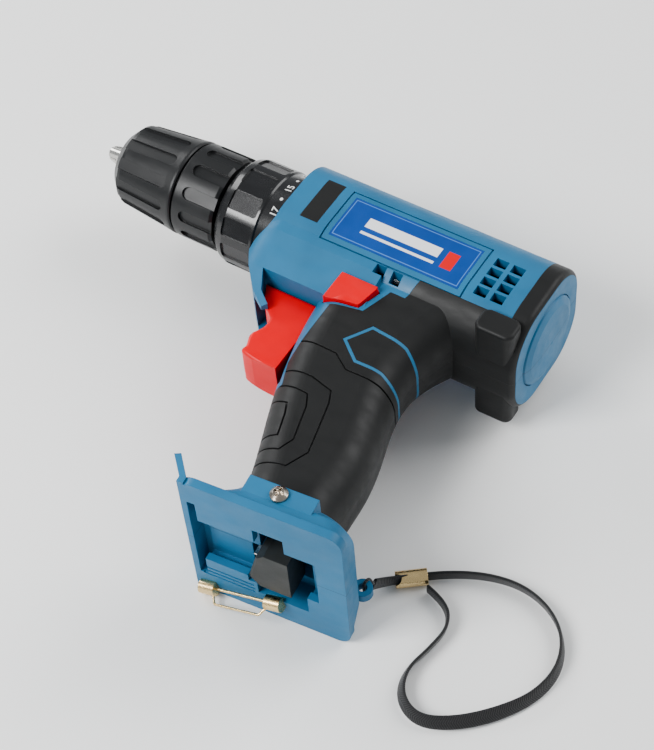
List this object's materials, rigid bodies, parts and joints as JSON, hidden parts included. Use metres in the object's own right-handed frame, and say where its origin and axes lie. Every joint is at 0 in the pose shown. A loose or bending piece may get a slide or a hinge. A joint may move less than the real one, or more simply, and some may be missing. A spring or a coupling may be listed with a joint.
{
  "type": "cordless drill",
  "caption": "Cordless drill driver with a keyless chuck, torque ring, pistol grip and battery rails, lying on its right side without its battery.",
  "frame": {"origin": "centre of the chuck's mouth, on the spindle axis, at the tips of the closed jaws", "axes": "+X along the spindle towards the rear, +Y towards the drill's top, +Z out of its left side, which faces up as it lies"},
  "size_m": [0.2848, 0.1898, 0.072],
  "materials": {
    "housing_blue": "fine-textured moulded blue plastic, lightly rubbed on its edges",
    "grip_rubber": "soft satin black overmould",
    "label_blue": "printed royal blue plate",
    "red_plastic": "satin red moulding",
    "chuck_black": "satin black nylon",
    "ring_black": "polished black moulding",
    "steel": "ground and hardened steel",
    "screw_steel": "bright zinc-plated screws",
    "brass": "bright brass",
    "terminal_grey": "dark grey glass-filled plastic",
    "copper": "enamelled copper",
    "magnet": "sintered ferrite",
    "gear_steel": "oiled sintered steel",
    "case_black": "glass-filled nylon",
    "clear_lens": "clear polycarbonate",
    "led_white": "clear white lamp body",
    "lead_insulation": "pale wire insulation",
    "strap_webbing": "flat woven black cord",
    "carbon": "carbon"
  },
  "bodies": {
    "root": {"left_housing": "housing_blue", "right_housing": "housing_blue", "left_grip": "grip_rubber", "right_grip": "grip_rubber", "grip_inlays": "housing_blue", "nose_inserts": "grip_rubber", "side_labels": "label_blue", "housing_screws": "screw_steel", "rear_cap": "housing_blue", "lamp_lens": "clear_lens", "lamp_led": "led_white", "battery_mount": "housing_blue", "mount_screws": "screw_steel", "terminal_block": "terminal_grey", "terminal_blades": "steel", "contact_pins": "brass", "wrist_strap": "strap_webbing", "strap_ferrule": "brass", "switch_module": "case_black", "wire_leads": "lead_insulation", "clutch_spring": "steel", "pressure_plate": "steel", "clutch_balls": "steel", "gearbox_case": "case_black", "spindle_bearings": "steel", "output_ring_gear": "gear_steel", "motor_plate": "steel", "motor_can": "steel", "motor_magnets": "magnet", "end_bell": "case_black", "motor_bushes": "brass", "motor_brushes": "carbon"},
    "chuck": {"spindle": "steel", "output_carrier": "gear_steel", "chuck_body": "steel", "chuck_rear_sleeve": "chuck_black", "chuck_screw": "screw_steel"},
    "sleeve": {"chuck_sleeve": "chuck_black", "jaw_nut": "gear_steel"},
    "jaw_1": {"jaw_1": "steel"},
    "jaw_2": {"jaw_2": "steel"},
    "jaw_3": {"jaw_3": "steel"},
    "torque_ring": {"torque_ring": "ring_black", "clutch_nut": "case_black"},
    "trigger": {"trigger": "red_plastic"},
    "direction_lever": {"direction_lever": "red_plastic"},
    "speed_selector": {"speed_selector": "case_black", "speed_ring": "gear_steel"},
    "first_carrier": {"first_carrier": "gear_steel"},
    "rotor": {"motor_shaft": "steel", "motor_pinion": "gear_steel", "rotor_stack": "gear_steel", "rotor_windings": "copper", "commutator": "copper"},
    "output_planet_1": {"output_planet_1": "gear_steel"},
    "first_planet_1": {"first_planet_1": "gear_steel"},
    "output_planet_2": {"output_planet_2": "gear_steel"},
    "first_planet_2": {"first_planet_2": "gear_steel"},
    "output_planet_3": {"output_planet_3": "gear_steel"},
    "first_planet_3": {"first_planet_3": "gear_steel"}
  },
  "joints": [
    {"name": "spindle_spin", "type": "hinge", "parent": "root", "child": "chuck", "pos_m": [0.05, 0, 0], "axis": [1, 0, 0], "continuous": true},
    {"name": "sleeve_turn", "type": "hinge", "parent": "chuck", "child": "sleeve", "pos_m": [0.03, 0, 0], "axis": [1, 0, 0], "range_deg": [0, 3600]},
    {"name": "torque_ring_turn", "type": "hinge", "parent": "root", "child": "torque_ring", "pos_m": [0.083, 0, 0], "axis": [1, 0, 0], "range_deg": [-150, 150]},
    {"name": "trigger_pull", "type": "slide", "parent": "root", "child": "trigger", "axis": [1, 0, 0], "range_m": [0, 0.007], "stiffness_N_per_m": 900, "springref_m": -0.001},
    {"name": "direction_shift", "type": "slide", "parent": "root", "child": "direction_lever", "axis": [0, 0, 1], "range_m": [-0.003, 0.003]},
    {"name": "speed_select", "type": "slide", "parent": "root", "child": "speed_selector", "axis": [1, 0, 0], "range_m": [0, 0.008]},
    {"name": "first_carrier_spin", "type": "hinge", "parent": "root", "child": "first_carrier", "pos_m": [0.112, 0, 0], "axis": [1, 0, 0], "continuous": true},
    {"name": "rotor_spin", "type": "hinge", "parent": "root", "child": "rotor", "pos_m": [0.15, 0, 0], "axis": [1, 0, 0], "continuous": true},
    {"name": "jaw_1_travel", "type": "slide", "parent": "chuck", "child": "jaw_1", "axis": [0.9563, 0.2924, 0], "range_m": [0, 0.017]},
    {"name": "output_planet_1_spin", "type": "hinge", "parent": "chuck", "child": "output_planet_1", "pos_m": [0.107, 0.01013, 0], "axis": [1, 0, 0], "continuous": true},
    {"name": "first_planet_1_spin", "type": "hinge", "parent": "first_carrier", "child": "first_planet_1", "pos_m": [0.117, 0.01013, 0], "axis": [1, 0, 0], "continuous": true},
    {"name": "jaw_2_travel", "type": "slide", "parent": "chuck", "child": "jaw_2", "axis": [0.9563, -0.1462, 0.2532], "range_m": [0, 0.017]},
    {"name": "output_planet_2_spin", "type": "hinge", "parent": "chuck", "child": "output_planet_2", "pos_m": [0.107, -0.00506, 0.00877], "axis": [1, 0, 0], "continuous": true},
    {"name": "first_planet_2_spin", "type": "hinge", "parent": "first_carrier", "child": "first_planet_2", "pos_m": [0.117, -0.00506, 0.00877], "axis": [1, 0, 0], "continuous": true},
    {"name": "jaw_3_travel", "type": "slide", "parent": "chuck", "child": "jaw_3", "axis": [0.9563, -0.1462, -0.2532], "range_m": [0, 0.017]},
    {"name": "output_planet_3_spin", "type": "hinge", "parent": "chuck", "child": "output_planet_3", "pos_m": [0.107, -0.00506, -0.00877], "axis": [1, 0, 0], "continuous": true},
    {"name": "first_planet_3_spin", "type": "hinge", "parent": "first_carrier", "child": "first_planet_3", "pos_m": [0.117, -0.00506, -0.00877], "axis": [1, 0, 0], "continuous": true}
  ],
  "couplings": [
    {"joint": "first_carrier_spin", "follows": "spindle_spin", "ratio": 4.5},
    {"joint": "rotor_spin", "follows": "spindle_spin", "ratio": 20.25},
    {"joint": "jaw_1_travel", "follows": "sleeve_turn", "m_per_rad": 0.00027},
    {"joint": "output_planet_1_spin", "follows": "spindle_spin", "ratio": -2.8},
    {"joint": "first_planet_1_spin", "follows": "spindle_spin", "ratio": -12.6},
    {"joint": "jaw_2_travel", "follows": "sleeve_turn", "m_per_rad": 0.00027},
    {"joint": "output_planet_2_spin", "follows": "spindle_spin", "ratio": -2.8},
    {"joint": "first_planet_2_spin", "follows": "spindle_spin", "ratio": -12.6},
    {"joint": "jaw_3_travel", "follows": "sleeve_turn", "m_per_rad": 0.00027},
    {"joint": "output_planet_3_spin", "follows": "spindle_spin", "ratio": -2.8},
    {"joint": "first_planet_3_spin", "follows": "spindle_spin", "ratio": -12.6}
  ]
}
